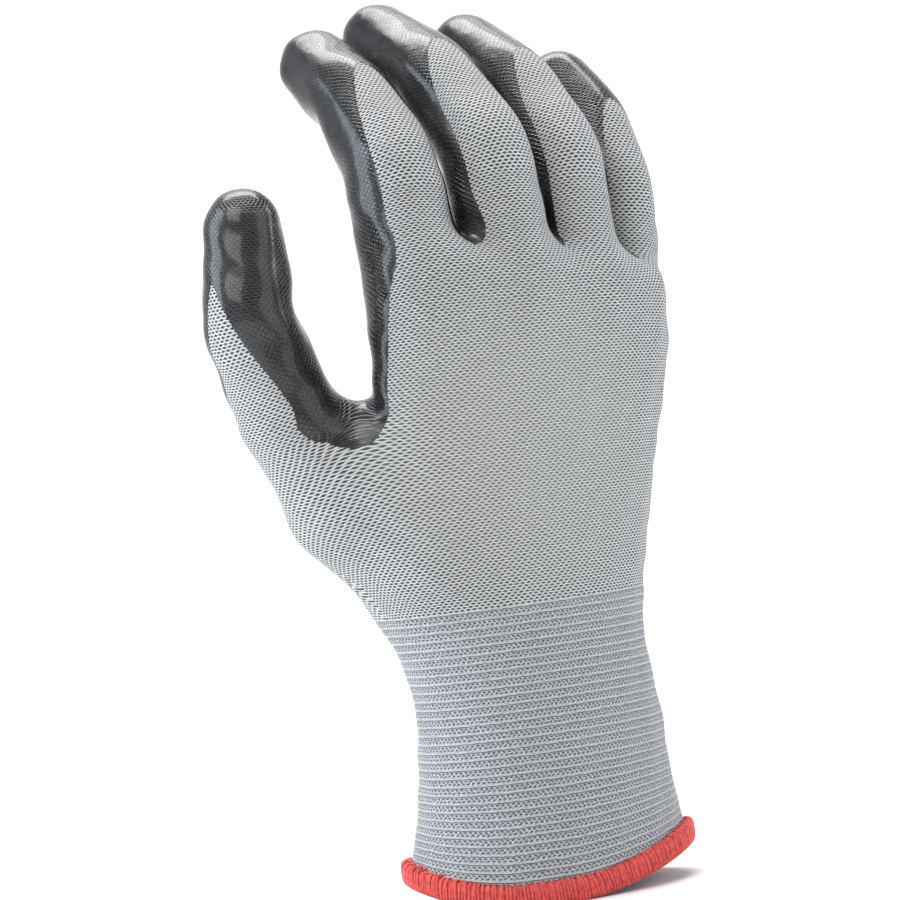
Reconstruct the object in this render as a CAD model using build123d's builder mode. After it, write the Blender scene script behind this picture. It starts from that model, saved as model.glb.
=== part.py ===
import math
import os
from functools import cache

from build123d import *

os.makedirs("parts", exist_ok=True)

# One right-hand knitted work glove, worn shape, standing on its hem. Millimetres and degrees.
# +Z runs from the hem to the fingertips, -Y is the back of the hand, -X the thumb side.

RIB = 1.3             # ribbed cuff wall
KNIT = 1.0            # knitted hand wall
SKIN = 0.6            # nitrile coating on the knit
TOUCH = 0.02          # clearance between layers of one body
SET_BACK = 0.35       # each side of a bend line, keeps the two bodies clear
ROOT_ABOVE = 24.0     # finger-root bend above the knuckle, along the finger
THUMB_ABOVE = 6.0     # thumb-root bend above the thumb knuckle
BACK_EDGE = 0.25      # coating edge on the back of a finger, as a share of its radius
APEX = 6.0            # how far past the last bend the uncoated back of a finger reaches

HEM_HEIGHT = 5.6      # red overlocked band
HEM_OUT = 1.3         # its thickness outside the cuff
HEM_IN = 0.9          # and inside
HEM_SADDLE = 85.0     # radius of the saddle that lifts the hem at both sides
HEM_TURN = -36.0      # direction of the saddle's low line from -Y
HEM_FLAT = 0.4        # depth trimmed flat where the hem stands
YARN_PITCH = 5.0      # laid-in elastic yarns
YARN_HEIGHT = 0.9
YARN_DEPTH = 0.5

# Elliptical sections of cuff, wrist and palm: height, centre x, centre y, half width, half depth.
SECTIONS = [
    (-4, 1.0, 0.0, 37.6, 30.2),
    (5, 1.0, 0.0, 37.2, 29.6),
    (14, 1.3, 0.0, 35.6, 28.4),
    (24, 2.2, 0.0, 33.8, 27.0),
    (38, 3.0, 0.0, 32.6, 25.4),
    (52, 2.4, 0.0, 32.0, 24.2),
    (64, 0.8, -0.8, 33.0, 23.2),
    (76, 0.0, -2.4, 35.4, 21.8),
    (90, 0.0, -4.5, 38.2, 20.2),
    (105, 1.0, -6.6, 40.8, 18.8),
    (120, 2.8, -8.8, 42.4, 17.6),
    (136, 4.6, -10.8, 42.6, 16.4),
    (150, 6.6, -11.8, 41.4, 15.0),
    (158, 7.4, -11.6, 38.6, 10.6),
    (165, 7.6, -11.0, 35.0, 6.0),
]
WEBS = 157.2          # height of the finger webs at the middle of the knuckle line
WRIST = 52.0
WRIST_TRAVEL = (-30.0, 35.0)
KNUCKLE = (8.0, -11.4, 139.0)
KNUCKLE_TILT = 8.0
KNUCKLE_TRAVEL = (-15.0, 30.0)
COAT_LOW = 84.0       # lower edge of the coating on the heel of the palm

# Knuckle point, sideways fan, turn of the bend axis, bends at rest, bone lengths, radii at the
# knuckle, middle bend, last bend and fingertip.
FINGERS = {
    "index": ((-24.0, -10.0, 142.0), 3.8, -3, (13.8, 26.6, 17.1), (40, 23.8, 19.6), (12.6, 11.9, 11.0, 9.9)),
    "middle": ((0.0, -16.0, 142.0), 3.6, 0, (11.2, 33.8, 15.7), (41.5, 28, 25.6), (11.4, 11.2, 10.6, 9.8)),
    "ring": ((21.6, -13.6, 139.5), 6.1, 3, (9.4, 31.8, 17.6), (41.4, 25, 22.2), (10.9, 10.6, 10.0, 9.4)),
    "little": ((41.2, -1.8, 133.0), 8.0, 6, (3.0, 23.0, 18.6), (39, 17.6, 16.6), (9.9, 9.5, 9.0, 8.4)),
}
ROOT_TRAVEL = (-10.0, 30.0)
MID_TRAVEL = (-30.0, 45.0)
TIP_TRAVEL = (-16.0, 30.0)

# Thumb centre line with radii: heel of the palm, thumb base, thumb knuckle, last bend, tip.
THUMB = [
    ((-17.0, 4.0, 66.0), 15.0),
    ((-31.7, 8.0, 86.0), 16.6),
    ((-53.3, 10.0, 123.0), 14.4),
    ((-61.2, 10.0, 147.5), 12.0),
    ((-61.2, 10.0, 170.5), 10.6),
]
THUMB_PAD = (0.64, 0.77, 0.0)     # direction it bends towards
THUMB_DIPPED = (0.86, 0.51, 0.0)  # direction its dipped side faces
THUMB_WEB = (((-26.0, -3.0, 84.0), 15.0), ((-41.0, 0.5, 111.0), 8.5))
THUMB_ROOT_TRAVEL = (-15.0, 16.0)
THUMB_MID_TRAVEL = (-15.0, 30.0)


def turned(vector, axis, degrees):
    """Vector turned about an axis by the right-hand rule."""
    return Vector(*vector).rotate(Axis((0, 0, 0), axis), degrees)


def bone_chain(start, fan, turn, bends, lengths):
    """Joint points, bone directions and the common bend axis of one finger."""
    along = Vector(math.sin(math.radians(fan)), 0, math.cos(math.radians(fan)))
    pad = Vector(-math.sin(math.radians(turn)), math.cos(math.radians(turn)), 0)
    pad = (pad - along * along.dot(pad)).normalized()
    axis = along.cross(pad)
    points, bones = [Vector(*start)], []
    for bend, length in zip(bends, lengths):
        along = turned(along, axis, bend)
        bones.append(along)
        points.append(points[-1] + along * length)
    return points, bones, axis


def prism(point, axis, along, profile):
    """A 2-D profile drawn in (pad, along) coordinates at a bend, drawn out both ways on its axis."""
    pad = axis.cross(along)
    with BuildPart() as solid:
        with BuildSketch(Plane(origin=point, x_dir=pad, z_dir=pad.cross(along))):
            with BuildLine():
                Polyline(*profile, close=True)
            make_face()
        extrude(amount=90, both=True)
    return solid.part


def beyond(point, axis, along, travel, width=60, reach=150):
    """Room for the body past a bend: a blunt wedge that stays clear over the whole travel."""
    pad_rise = width * math.tan(math.radians(travel[1] / 2)) + SET_BACK
    back_rise = width * math.tan(math.radians(-travel[0] / 2)) + SET_BACK
    edge = [(0, SET_BACK), (width, pad_rise), (width, reach), (-width, reach), (-width, back_rise)]
    return prism(point, axis, along, edge)


def before(point, axis, along, travel, width=60, reach=150):
    """Room for the body ahead of a bend, the mirror image of beyond."""
    pad_fall = -width * math.tan(math.radians(travel[1] / 2)) - SET_BACK
    back_fall = -width * math.tan(math.radians(-travel[0] / 2)) - SET_BACK
    edge = [(0, -SET_BACK), (width, pad_fall), (width, -reach), (-width, -reach), (-width, back_fall)]
    return prism(point, axis, along, edge)


@cache
def hand_loft(grow):
    """Cuff, wrist and palm as one solid, every section grown by an offset."""
    with BuildPart() as solid:
        for height, x, y, width, depth in SECTIONS:
            with BuildSketch(Plane.XY.offset(height)):
                with Locations((x, y)):
                    Ellipse(width + grow, depth + grow)
        loft()
    return solid.part


def cone(start, end, low, high, grow, domed=False):
    """Tapered finger form from start to end, radii low and high, with an optional round end."""
    along = (end - start).normalized()
    side = along.cross(Vector(0, 1, 0)).normalized()
    length = (end - start).length
    tip = high + grow
    with BuildPart() as solid:
        with BuildSketch(Plane(origin=start, x_dir=side, z_dir=side.cross(along))):
            with BuildLine():
                Line((0, 0), (low + grow, 0))
                Line((low + grow, 0), (tip, length))
                if domed:
                    half = tip * math.sqrt(0.5)
                    ThreePointArc((tip, length), (half, length + half), (0, length + tip))
                    Line((0, length + tip), (0, 0))
                else:
                    Line((tip, length), (0, length))
                    Line((0, length), (0, 0))
            make_face()
        revolve(axis=Axis(start, along))
    return solid.part


@cache
def thumb_loft(grow):
    """The thumb from the heel of the palm to just past its root bend."""
    points = [Vector(*point) for point, radius in THUMB]
    end = points[2] + (points[3] - points[2]).normalized() * 16
    stops = points[:3] + [end]
    radii = [radius for point, radius in THUMB[:3]] + [13.0]
    lines = [points[1] - points[0], points[2] - points[0], points[3] - points[1], points[3] - points[2]]
    with BuildPart() as solid:
        for stop, line, radius in zip(stops, lines, radii):
            with BuildSketch(Plane(origin=stop, x_dir=line.cross(Vector(0, 1, 0)), z_dir=line)):
                Circle(radius + grow)
        loft()
    return solid.part


def joined(*parts):
    with BuildPart() as solid:
        for part in parts:
            add(part)
    return solid.part


def common(*parts):
    with BuildPart() as solid:
        add(parts[0])
        for part in parts[1:]:
            add(part, mode=Mode.INTERSECT)
    return solid.part


def without(part, *tools):
    with BuildPart() as solid:
        add(part)
        for tool in tools:
            add(tool, mode=Mode.SUBTRACT)
    return solid.part


def saddle(inset):
    """Everything above the hem's saddle curve, inset upwards from its lower edge."""
    low_line = Vector(math.sin(math.radians(HEM_TURN)), -math.cos(math.radians(HEM_TURN)), 0)
    with BuildPart() as solid:
        with BuildSketch(Plane(origin=(0, 0, HEM_SADDLE - HEM_FLAT), x_dir=(0, 0, 1), z_dir=low_line)):
            Circle(HEM_SADDLE - inset)
        extrude(amount=80, both=True)
    return solid.part


def save(name, part):
    part.label = name
    export_step(part, "parts/" + name + ".step")


# ---- The bend lines ----
wrist_point = Vector(2.0, 0, WRIST)
wrist_axis = Vector(-1, 0, 0)
up = Vector(0, 0, 1)
knuckle_point = Vector(*KNUCKLE)
tilt = math.radians(KNUCKLE_TILT)
knuckle_axis = Vector(-math.cos(tilt), 0, math.sin(tilt))
knuckle_along = Vector(math.sin(tilt), -0.10, math.cos(tilt)).normalized()
knuckle_along = (knuckle_along - knuckle_axis * knuckle_axis.dot(knuckle_along)).normalized()

# ---- Ribbed cuff, its elastic yarns and the overlocked hem ----
cuff_room = before(wrist_point, wrist_axis, up, WRIST_TRAVEL)
with BuildPart() as cuff_rib_knit:
    add(hand_loft(0))
    add(hand_loft(-RIB), mode=Mode.SUBTRACT)
    add(cuff_room, mode=Mode.INTERSECT)
    add(saddle(HEM_OUT + HEM_FLAT), mode=Mode.INTERSECT)
save("cuff_rib_knit", cuff_rib_knit.part)

yarn_heights = [16 + YARN_PITCH * step for step in range(6)]
with BuildPart() as yarn_slabs:
    with Locations(*[(0, 0, height) for height in yarn_heights]):
        Box(120, 120, YARN_HEIGHT)
with BuildPart() as cuff_elastic_yarns:
    add(hand_loft(-RIB - TOUCH))
    add(hand_loft(-RIB - YARN_DEPTH), mode=Mode.SUBTRACT)
    add(yarn_slabs.part, mode=Mode.INTERSECT)
save("cuff_elastic_yarns", cuff_elastic_yarns.part)

edge_room = without(hand_loft(TOUCH), hand_loft(-RIB - TOUCH))
edge_room = common(edge_room, saddle(HEM_OUT + HEM_FLAT - TOUCH))
with BuildPart() as ground:
    with Locations((0, 0, -20)):
        Box(200, 200, 40)
with BuildPart() as hem_overlock_wrap:
    add(hand_loft(HEM_OUT))
    add(hand_loft(-RIB - HEM_IN), mode=Mode.SUBTRACT)
    add(saddle(0), mode=Mode.INTERSECT)
    add(saddle(HEM_HEIGHT), mode=Mode.SUBTRACT)
    add(edge_room, mode=Mode.SUBTRACT)
    add(cuff_room, mode=Mode.INTERSECT)
    add(ground.part, mode=Mode.SUBTRACT)
save("hem_overlock_wrap", hem_overlock_wrap.part)

with BuildPart() as hem_needle_thread:
    add(hand_loft(0.6))
    add(hand_loft(TOUCH), mode=Mode.SUBTRACT)
    add(saddle(HEM_HEIGHT + TOUCH), mode=Mode.INTERSECT)
    add(saddle(HEM_HEIGHT + 0.7), mode=Mode.SUBTRACT)
    add(cuff_room, mode=Mode.INTERSECT)
save("hem_needle_thread", hem_needle_thread.part)

# ---- Palm and back of the hand, from the wrist to the knuckle line, with the thumb's base ----
palm_room = common(
    beyond(wrist_point, wrist_axis, up, WRIST_TRAVEL, reach=110),
    before(knuckle_point, knuckle_axis, knuckle_along, KNUCKLE_TRAVEL, reach=110),
)
thumb_points = [Vector(*point) for point, radius in THUMB]
thumb_radii = [radius for point, radius in THUMB]
thumb_low = (thumb_points[3] - thumb_points[2]).normalized()
thumb_high = (thumb_points[4] - thumb_points[3]).normalized()
thumb_root = thumb_points[2] + thumb_low * THUMB_ABOVE
thumb_axis = thumb_low.cross(Vector(*THUMB_PAD)).normalized()
thumb_dip_axis = thumb_low.cross(Vector(*THUMB_DIPPED)).normalized()
thumb_room = before(thumb_root, thumb_axis, thumb_low, THUMB_ROOT_TRAVEL)
web_start, web_end = [Vector(*point) for point, radius in THUMB_WEB]
web_radii = [radius for point, radius in THUMB_WEB]


def thumb_web(grow):
    return cone(web_start, web_end, web_radii[0], web_radii[1], grow, domed=True)


def palm_form(grow):
    """Palm, thumb base and thumb web as one solid, trimmed at the three bends."""
    return joined(
        common(hand_loft(grow), palm_room),
        common(thumb_loft(grow), thumb_room),
        thumb_web(grow),
    )


with BuildPart() as palm_liner:
    add(palm_form(0))
    add(hand_loft(-KNIT), mode=Mode.SUBTRACT)
    add(thumb_loft(-KNIT), mode=Mode.SUBTRACT)
    add(thumb_web(-KNIT), mode=Mode.SUBTRACT)
save("palm_liner", palm_liner.part)

with BuildPart() as front_half:
    with BuildSketch(Plane.YZ):
        with BuildLine():
            Polyline((0, COAT_LOW), (-9, 150), (60, 150), (60, COAT_LOW), close=True)
        make_face()
    extrude(amount=100, both=True)
thumb_front = prism(thumb_root, thumb_dip_axis, thumb_low, [(1, 60), (1, -36), (60, -36), (60, 60)])
coat_form = joined(
    common(hand_loft(SKIN), palm_room, front_half.part),
    common(thumb_loft(SKIN), thumb_room, thumb_front),
)
with BuildPart() as palm_coating:
    add(coat_form)
    add(hand_loft(TOUCH), mode=Mode.SUBTRACT)
    add(thumb_loft(TOUCH), mode=Mode.SUBTRACT)
    add(thumb_web(TOUCH), mode=Mode.SUBTRACT)
save("palm_coating", palm_coating.part)

# ---- Fingers: three pieces each past the finger root, and the stub that carries them ----
stubs, stub_holes, stub_skins, stub_beds = [], [], [], []
for name, (start, fan, turn, bends, lengths, radii) in FINGERS.items():
    points, bones, axis = bone_chain(start, fan, turn, bends, lengths)
    root = points[0] + bones[0] * ROOT_ABOVE
    low = points[0] - bones[0] * 6
    share = ROOT_ABOVE / lengths[0]
    root_radius = radii[0] + (radii[1] - radii[0]) * share
    stub_room = before(root, axis, bones[0], ROOT_TRAVEL)
    above = points[1]
    edge = -radii[0] * BACK_EDGE
    stub_front = prism(root, axis, bones[0], [(edge, 20), (edge, -40), (40, -40), (40, 20)])
    stubs.append(common(cone(low, above, radii[0], radii[1], -SKIN), stub_room))
    stub_holes.append(cone(low, above, radii[0], radii[1], -SKIN - KNIT))
    stub_skins.append(common(cone(low, above, radii[0], radii[1], 0), stub_room, stub_front))
    stub_beds.append(cone(low, above, radii[0], radii[1], TOUCH - SKIN))

    turns = [bones[0], (bones[0] + bones[1]).normalized(), (bones[1] + bones[2]).normalized()]
    hinges = [root, points[1], points[2]]
    travels = [ROOT_TRAVEL, MID_TRAVEL, TIP_TRAVEL]
    ends = [root_radius, radii[1], radii[2], radii[3]]
    for order, piece in enumerate(("base", "mid", "tip")):
        bone = bones[order]
        domed = piece == "tip"
        first = hinges[order] - bone * 7
        last = points[3] if domed else hinges[order + 1] + bone * 7
        room = beyond(hinges[order], axis, turns[order], travels[order])
        if not domed:
            room = common(room, before(hinges[order + 1], axis, turns[order + 1], travels[order + 1]))
        wide, narrow = ends[order], ends[order + 1]

        liner = common(cone(first, last, wide, narrow, -SKIN, domed), room)
        bore = cone(first, last, wide, narrow, -SKIN - KNIT, domed)
        save(name + "_" + piece + "_liner", without(liner, bore))

        past = APEX if domed else 60
        back = -wide * BACK_EDGE
        uncoated = prism(hinges[order], axis, bone, [(back, -30), (back, past), (-40, past), (-40, -30)])
        shell = common(cone(first, last, wide, narrow, 0, domed), room)
        bed = cone(first, last, wide, narrow, TOUCH - SKIN, domed)
        save(name + "_" + piece + "_coating", without(shell, bed, uncoated))

# ---- Knuckle section: the upper hand between the knuckle line and the finger roots ----
knuckle_room = beyond(knuckle_point, knuckle_axis, knuckle_along, KNUCKLE_TRAVEL, reach=60)


def below_webs(grow):
    """Everything under the line of the finger webs, which falls towards the little finger."""
    top = Vector(KNUCKLE[0], 0, WEBS + grow)
    return prism(top, Vector(0, 1, 0), knuckle_axis, [(0, 90), (-120, 90), (-120, -90), (0, -90)])


with BuildPart() as knuckle_liner:
    add(common(hand_loft(0), knuckle_room, below_webs(0)))
    for stub in stubs:
        add(common(stub, knuckle_room))
    add(common(hand_loft(-KNIT), below_webs(-KNIT)), mode=Mode.SUBTRACT)
    for hole in stub_holes:
        add(hole, mode=Mode.SUBTRACT)
save("knuckle_liner", knuckle_liner.part)

with BuildPart() as knuckle_front:
    with BuildSketch(Plane.YZ):
        with BuildLine():
            Polyline((-8, 120), (-11, 175), (60, 175), (60, 120), close=True)
        make_face()
    extrude(amount=100, both=True)
with BuildPart() as knuckle_coating:
    add(common(hand_loft(SKIN), knuckle_room, knuckle_front.part, below_webs(0)))
    for skin in stub_skins:
        add(common(skin, knuckle_room))
    add(hand_loft(TOUCH), mode=Mode.SUBTRACT)
    for bed in stub_beds:
        add(bed, mode=Mode.SUBTRACT)
patches = [solid for solid in knuckle_coating.part.solids() if solid.volume > 10]
save("knuckle_coating", joined(*patches))

# ---- Thumb: two pieces past its root ----
thumb_hinges = [thumb_root, thumb_points[3]]
thumb_turns = [thumb_low, (thumb_low + thumb_high).normalized()]
thumb_travels = [THUMB_ROOT_TRAVEL, THUMB_MID_TRAVEL]
thumb_bones = [thumb_low, thumb_high]
thumb_ends = [13.6, 12.0, 10.6]
for order, piece in enumerate(("base", "tip")):
    bone = thumb_bones[order]
    domed = piece == "tip"
    first = thumb_hinges[order] - bone * 7
    last = thumb_points[4] if domed else thumb_points[3] + bone * 7
    room = beyond(thumb_hinges[order], thumb_axis, thumb_turns[order], thumb_travels[order])
    if not domed:
        room = common(room, before(thumb_hinges[1], thumb_axis, thumb_turns[1], thumb_travels[1]))
    wide, narrow = thumb_ends[order], thumb_ends[order + 1]
    liner = common(cone(first, last, wide, narrow, -SKIN, domed), room)
    bore = cone(first, last, wide, narrow, -SKIN - KNIT, domed)
    save("thumb_" + piece + "_liner", without(liner, bore))

    past = APEX if domed else 60
    back = -wide * BACK_EDGE
    edge = [(back, -30), (back, past), (-40, past), (-40, -30)]
    uncoated = prism(thumb_hinges[order], thumb_dip_axis, bone, edge)
    shell = common(cone(first, last, wide, narrow, 0, domed), room)
    bed = cone(first, last, wide, narrow, TOUCH - SKIN, domed)
    save("thumb_" + piece + "_coating", without(shell, bed, uncoated))
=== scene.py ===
import math

import bpy
import numpy as np
from mathutils import Matrix, Vector


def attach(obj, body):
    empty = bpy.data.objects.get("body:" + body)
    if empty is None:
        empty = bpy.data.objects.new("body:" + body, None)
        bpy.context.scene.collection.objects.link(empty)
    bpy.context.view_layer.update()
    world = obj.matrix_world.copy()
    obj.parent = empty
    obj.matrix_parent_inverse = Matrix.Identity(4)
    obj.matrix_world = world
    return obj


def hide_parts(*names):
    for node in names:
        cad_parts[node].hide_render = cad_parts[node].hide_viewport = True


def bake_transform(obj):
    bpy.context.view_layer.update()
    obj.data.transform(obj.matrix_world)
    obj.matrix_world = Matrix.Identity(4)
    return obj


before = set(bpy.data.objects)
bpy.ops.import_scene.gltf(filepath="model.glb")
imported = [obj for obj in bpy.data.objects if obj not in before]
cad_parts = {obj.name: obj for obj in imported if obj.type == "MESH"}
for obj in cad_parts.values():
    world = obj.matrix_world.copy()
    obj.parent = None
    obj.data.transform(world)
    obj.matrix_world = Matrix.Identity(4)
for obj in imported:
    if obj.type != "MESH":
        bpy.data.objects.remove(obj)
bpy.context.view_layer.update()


# ---- Floor, lights and camera ----
# The glove stands on its hem on a pale sweep in a white studio.
# Soft panels left and right give the dipped coating its long reflections.
STUDIO_TURN = Matrix.Rotation(math.radians(-36), 3, "Z")


def plain_material(name, colour, roughness):
    """A one-finish material for the studio."""
    material = bpy.data.materials.new(name)
    material.use_nodes = True
    shader = material.node_tree.nodes["Principled BSDF"]
    shader.inputs["Base Color"].default_value = (*colour, 1)
    shader.inputs["Roughness"].default_value = roughness
    return material


def studio_sweep():
    """A floor that curves up into a backdrop behind the glove."""
    outline = [(-4.0, 0.0)] + [(1.6 + 1.2 * math.sin(t), 1.2 - 1.2 * math.cos(t))
                               for t in np.linspace(0, math.pi / 2, 24)] + [(2.8, 5.0)]
    rows = [[STUDIO_TURN @ Vector((x, y, z)) for y, z in outline] for x in (-5.0, 5.0)]
    count = len(outline)
    faces = [(i, i + count, i + count + 1, i + 1) for i in range(count - 1)]
    mesh = bpy.data.meshes.new("studio_sweep")
    mesh.from_pydata(rows[0] + rows[1], [], faces)
    mesh.shade_smooth()
    mesh.materials.append(plain_material("pale_paper", (0.92, 0.92, 0.92), 0.8))
    sweep = bpy.data.objects.new("studio_sweep", mesh)
    bpy.context.scene.collection.objects.link(sweep)


studio_sweep()


def soft_panel(name, azimuth, elevation, distance, size, power, tint=(1, 1, 1)):
    """An area light aimed at the middle of the glove."""
    light = bpy.data.lights.new(name, "AREA")
    light.shape = "RECTANGLE"
    light.size, light.size_y = size
    light.energy = power
    light.color = tint
    panel = bpy.data.objects.new(name, light)
    a, e = math.radians(azimuth), math.radians(elevation)
    away = Vector((math.sin(a) * math.cos(e), -math.cos(a) * math.cos(e), math.sin(e)))
    panel.location = Vector((0, 0, 0.11)) + away * distance
    panel.rotation_euler = away.to_track_quat("Z", "Y").to_euler()
    bpy.context.scene.collection.objects.link(panel)


soft_panel("key_panel", -62, 38, 1.3, (0.9, 0.9), 10)
soft_panel("fill_panel", 22, 20, 1.6, (0.9, 1.2), 5)
soft_panel("left_edge_panel", -118, 12, 0.9, (0.5, 1.0), 8, (0.82, 0.91, 1))
soft_panel("right_edge_panel", 62, 16, 1.1, (0.35, 1.0), 5, (0.86, 0.93, 1))
soft_panel("top_panel", 150, 62, 1.2, (0.9, 0.7), 6)
backdrop_light = bpy.data.lights.new("backdrop_panel", "AREA")
backdrop_light.size, backdrop_light.energy = 1.6, 60
backdrop_panel = bpy.data.objects.new("backdrop_panel", backdrop_light)
backdrop_panel.location = STUDIO_TURN @ Vector((0, 0.9, 1.9))
backdrop_aim = STUDIO_TURN @ Vector((0, 2.4, 0.2)) - backdrop_panel.location
backdrop_panel.rotation_euler = backdrop_aim.to_track_quat("-Z", "Y").to_euler()
bpy.context.scene.collection.objects.link(backdrop_panel)

world = bpy.data.worlds.new("white_room")
bpy.context.scene.world = world
world.use_nodes = True
room = world.node_tree
seen = room.nodes.new("ShaderNodeLightPath").outputs["Is Camera Ray"]
strength = room.nodes.new("ShaderNodeMapRange")
strength.inputs["To Min"].default_value, strength.inputs["To Max"].default_value = 0.22, 1.0
room.links.new(seen, strength.inputs["Value"])
room.nodes["Background"].inputs["Color"].default_value = (1, 1, 1, 1)
room.links.new(strength.outputs[0], room.nodes["Background"].inputs["Strength"])
bpy.context.scene.view_settings.view_transform = "Standard"

CAMERA_AZIMUTH, CAMERA_ELEVATION, CAMERA_ROLL = (math.radians(v) for v in (-36, 6, -7))
CAMERA_DISTANCE = 1.1
AIM_RIGHT, AIM_UP = -0.02475, 0.109      # middle of the view from the glove's origin
LENS = 178.2

away = Vector((math.sin(CAMERA_AZIMUTH) * math.cos(CAMERA_ELEVATION),
               -math.cos(CAMERA_AZIMUTH) * math.cos(CAMERA_ELEVATION), math.sin(CAMERA_ELEVATION)))
level = Vector((math.cos(CAMERA_AZIMUTH), math.sin(CAMERA_AZIMUTH), 0))
rise = away.cross(level)
view_right = level * math.cos(CAMERA_ROLL) + rise * math.sin(CAMERA_ROLL)
view_up = rise * math.cos(CAMERA_ROLL) - level * math.sin(CAMERA_ROLL)
aim = view_right * AIM_RIGHT + view_up * AIM_UP
stand = away * CAMERA_DISTANCE
look = (stand - aim).normalized()
view_up = (view_up - look * look.dot(view_up)).normalized()
camera = bpy.data.objects.new("camera", bpy.data.cameras.new("camera"))
camera.data.lens = LENS
camera.data.clip_start = 0.05
camera.matrix_world = Matrix.Translation(stand) @ Matrix(
    (view_up.cross(look), view_up, look)).transposed().to_4x4()
bpy.context.scene.collection.objects.link(camera)
bpy.context.scene.camera = camera

# ---- Hand form ----
# The glove is knitted in one piece to the shape of a relaxed right hand, in millimetres here:
# oval sections up to the knuckles, four finger stalls and a thumb stall that leaves the side.
SECTIONS = np.array([
    (-4, 1.0, 0.0, 37.6, 30.2), (5, 1.0, 0.0, 37.2, 29.6), (14, 1.3, 0.0, 35.6, 28.4),
    (24, 2.2, 0.0, 33.8, 27.0), (38, 3.0, 0.0, 32.6, 25.4), (52, 2.4, 0.0, 32.0, 24.2),
    (64, 0.8, -0.8, 33.0, 23.2), (76, 0.0, -2.4, 35.4, 21.8), (90, 0.0, -4.5, 38.2, 20.2),
    (105, 1.0, -6.6, 40.8, 18.8), (120, 2.8, -8.8, 42.4, 17.6), (136, 4.6, -10.8, 42.6, 16.4),
    (150, 6.6, -11.8, 41.4, 14.6), (158, 7.4, -12.0, 39.6, 12.4), (165, 7.6, -12.0, 37.0, 10.0),
])
OUTER_PAD = ((23.5, -1.0, 84), (39.2, -0.6, 131), 10.4, 10.1)    # fullness under the little finger
WEB_POINT = np.array((8.0, 0.0, 157.2))
WEB_UP = np.array((0.139, 0.0, 0.990))
STALL_SQUASH = 0.99       # stalls are a little narrower than deep

# Knuckle point, sideways fan, turn of the bend axis, bends, bone lengths, radii along the stall.
FINGERS = {
    "index": ((-24.0, -10.0, 142.0), 3.8, -3, (13.8, 26.6, 17.1), (40, 23.8, 19.6), (12.6, 11.4, 9.9, 8.7)),
    "middle": ((0.0, -16.0, 142.0), 3.6, 0, (11.2, 33.8, 15.7), (41.5, 28, 25.6), (11.4, 11.1, 10.1, 9.2)),
    "ring": ((21.6, -13.6, 139.5), 6.1, 3, (9.4, 31.8, 17.6), (41.4, 25, 22.2), (10.9, 10.5, 9.7, 9.0)),
    "little": ((41.2, -1.8, 133.0), 8.0, 6, (3.0, 23.0, 18.6), (39, 17.6, 16.6), (10.8, 10.2, 9.3, 8.6)),
}
THUMB = [((-14.0, 3.5, 63.0), 11.0), ((-38.5, 8.5, 101.5), 14.8), ((-52.6, 10.0, 123.0), 11.9),
         ((-60.6, 10.0, 147.5), 11.0), ((-59.0, 10.0, 169.8), 8.9)]
THUMB_WEB = (((-26.0, -3.0, 84.0), 13.0), ((-36.5, 0.0, 113.5), 8.5))
THUMB_BACK = np.array((-1.0, -0.08, 0.0))


def unit(vectors):
    return vectors / np.maximum(np.linalg.norm(vectors, axis=-1, keepdims=True), 1e-9)


def eased(value, low, high):
    """0 below low, 1 above high, smooth between them."""
    t = np.clip((value - low) / (high - low), 0, 1)
    return t * t * (3 - 2 * t)


def melt(a, b, width):
    """The lower of two fields, rounded over where they meet."""
    share = np.clip(0.5 + 0.5 * (b - a) / width, 0, 1)
    return b + (a - b) * share - width * share * (1 - share)


def along_curve(x, stops, values):
    """A smooth curve through values given at stops."""
    slopes = np.gradient(values, stops)
    i = np.clip(np.searchsorted(stops, x) - 1, 0, len(stops) - 2)
    step = stops[i + 1] - stops[i]
    t = np.clip((x - stops[i]) / step, 0, 1)
    return ((1 + 2 * t) * (1 - t) ** 2 * values[i] + t * (1 - t) ** 2 * step * slopes[i]
            + t * t * (3 - 2 * t) * values[i + 1] + t * t * (t - 1) * step * slopes[i + 1])


def section(height):
    return [along_curve(height, SECTIONS[:, 0], SECTIONS[:, k]) for k in range(1, 5)]


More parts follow.
